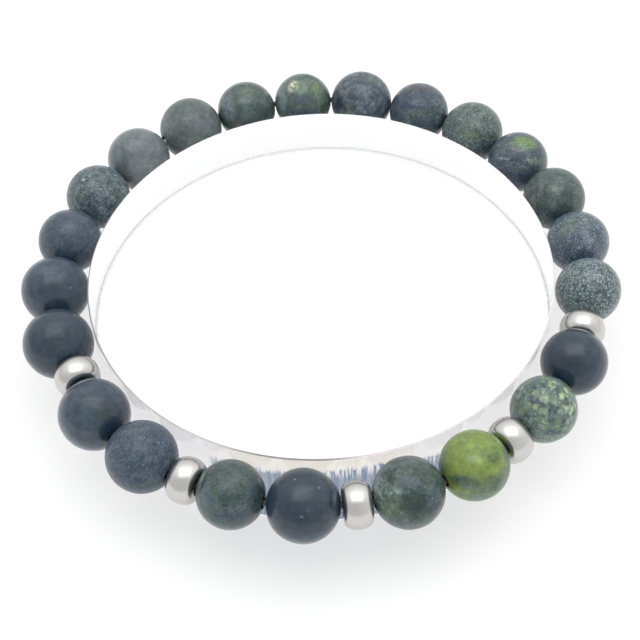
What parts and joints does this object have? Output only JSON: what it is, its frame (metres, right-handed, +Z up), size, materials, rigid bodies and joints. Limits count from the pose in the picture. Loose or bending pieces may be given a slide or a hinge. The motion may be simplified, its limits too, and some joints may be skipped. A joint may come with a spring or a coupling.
{
  "type": "beaded bracelet on a display disc",
  "caption": "Stretch bracelet of round drilled stone beads and steel spacer beads on clear elastic, held on the rim of a clear round display disc.",
  "frame": {"origin": "centre of the display disc's foot, the flat face that it stands on", "axes": "+Z up along the disc's axis, -Y towards the front of the string, +X to the right of the front"},
  "size_m": [0.0716, 0.0714, 0.0147],
  "materials": {
    "slate_stone": "matte, dark blue-grey serpentine",
    "moss_stone": "matte, dark grey-green serpentine",
    "speckled_stone": "matte, grey-green serpentine with pale specks",
    "lime_stone": "matte, yellow-green serpentine",
    "spacer_steel": "satin stainless steel",
    "clear_elastic": "clear elastic",
    "clear_acrylic": "polished clear acrylic"
  },
  "bodies": {
    "root": {"display_disc": "clear_acrylic", "elastic_thread": "clear_elastic", "stone_01": "moss_stone", "stone_02": "lime_stone", "stone_03": "speckled_stone", "stone_04": "slate_stone", "stone_05": "speckled_stone", "stone_06": "speckled_stone", "stone_07": "moss_stone", "stone_08": "moss_stone", "stone_09": "moss_stone", "stone_10": "slate_stone", "stone_11": "slate_stone", "stone_12": "moss_stone", "stone_13": "moss_stone", "stone_14": "moss_stone", "stone_15": "moss_stone", "stone_16": "speckled_stone", "stone_17": "slate_stone", "stone_18": "slate_stone", "stone_19": "slate_stone", "stone_20": "slate_stone", "stone_21": "slate_stone", "stone_22": "moss_stone", "stone_23": "slate_stone", "spacer_1": "spacer_steel", "spacer_2": "spacer_steel", "spacer_3": "spacer_steel", "spacer_4": "spacer_steel", "spacer_5": "spacer_steel"}
  },
  "joints": []
}
